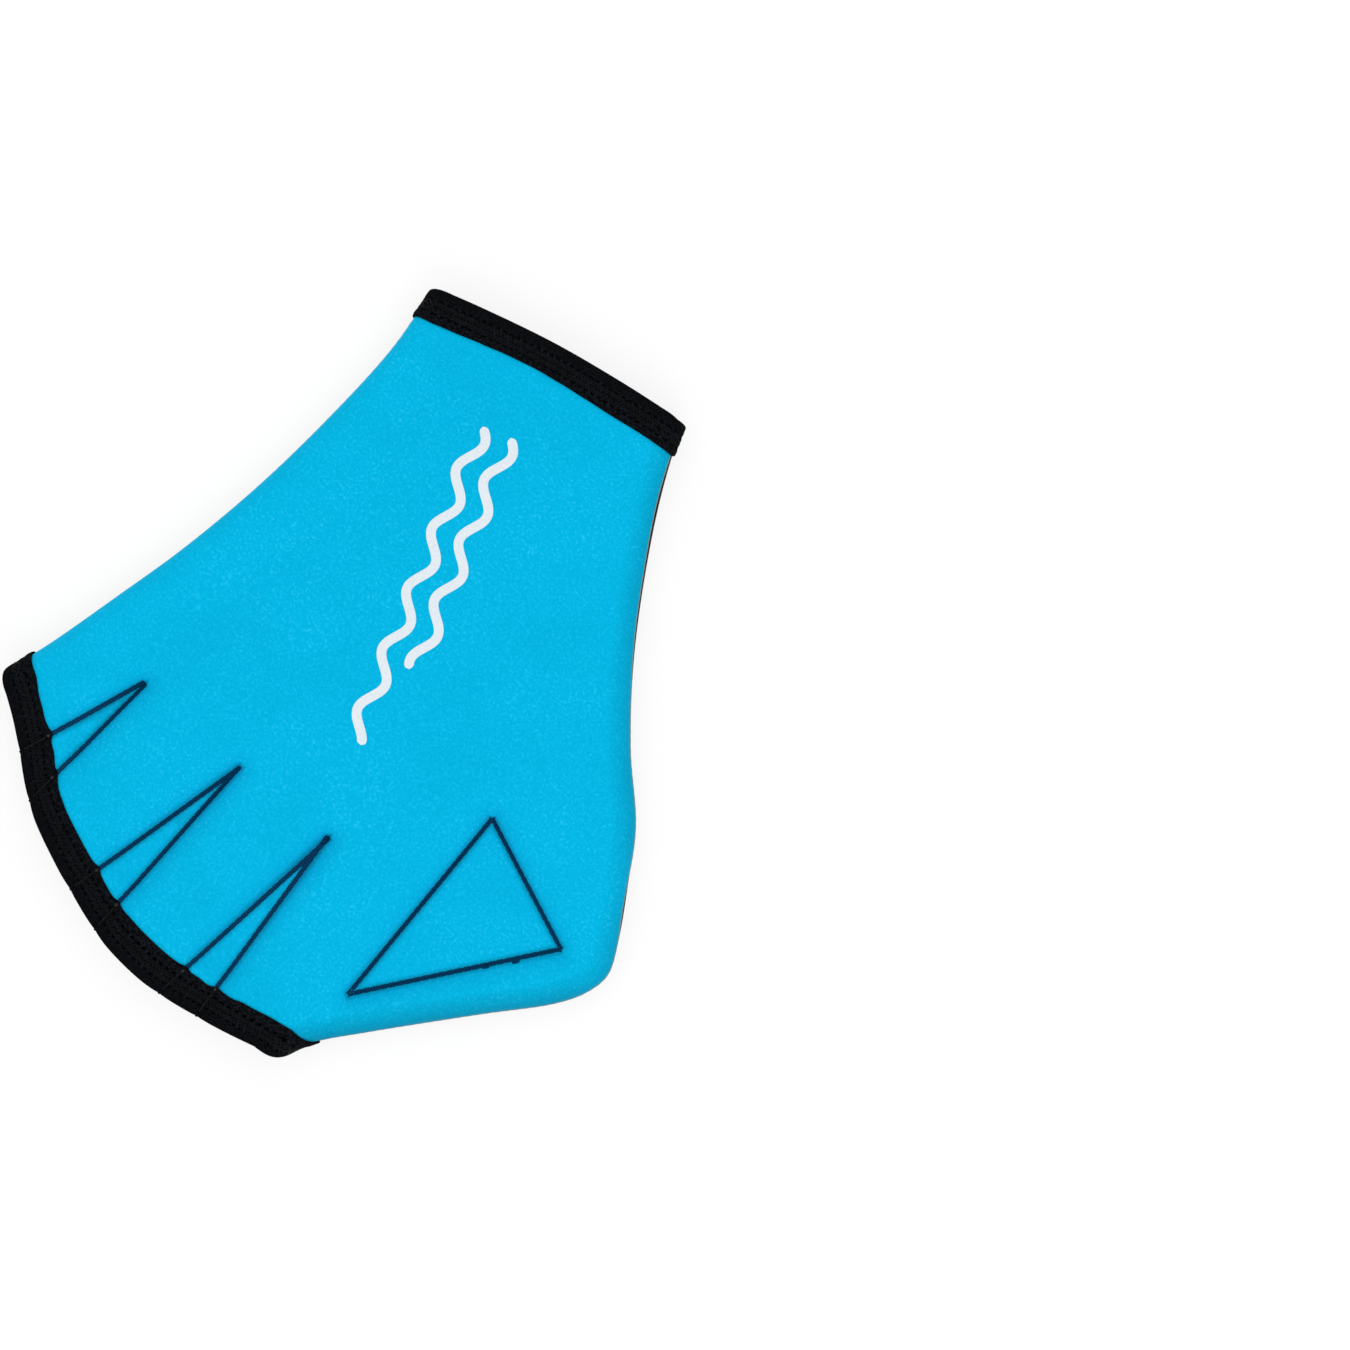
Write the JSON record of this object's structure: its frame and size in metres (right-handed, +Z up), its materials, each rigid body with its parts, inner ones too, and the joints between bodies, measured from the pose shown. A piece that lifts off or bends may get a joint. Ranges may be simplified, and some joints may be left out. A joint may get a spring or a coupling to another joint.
{
  "type": "webbed swim glove",
  "caption": "Fingerless webbed swim glove for the right hand, lying flat on its palm: two stretch sheets with sewn webs, open at the wrist and at the fingers, where tape binds the edges.",
  "frame": {"origin": "on the ground under the middle of the glove's outline, lying flat on its palm", "axes": "+Z up out of the back of the hand, +Y along the middle finger towards the finger mouth, +X to the little finger's side"},
  "size_m": [0.199, 0.2404, 0.0139],
  "materials": {
    "back_sheet": "matte knit jersey over foam rubber",
    "palm_sheet": "matte knit jersey over foam rubber",
    "wrist_binding": "matte knit tape",
    "finger_binding": "matte knit tape"
  },
  "bodies": {
    "root": {"back_sheet": "back_sheet", "palm_sheet": "palm_sheet", "wrist_binding": "wrist_binding", "finger_binding": "finger_binding"}
  },
  "joints": []
}
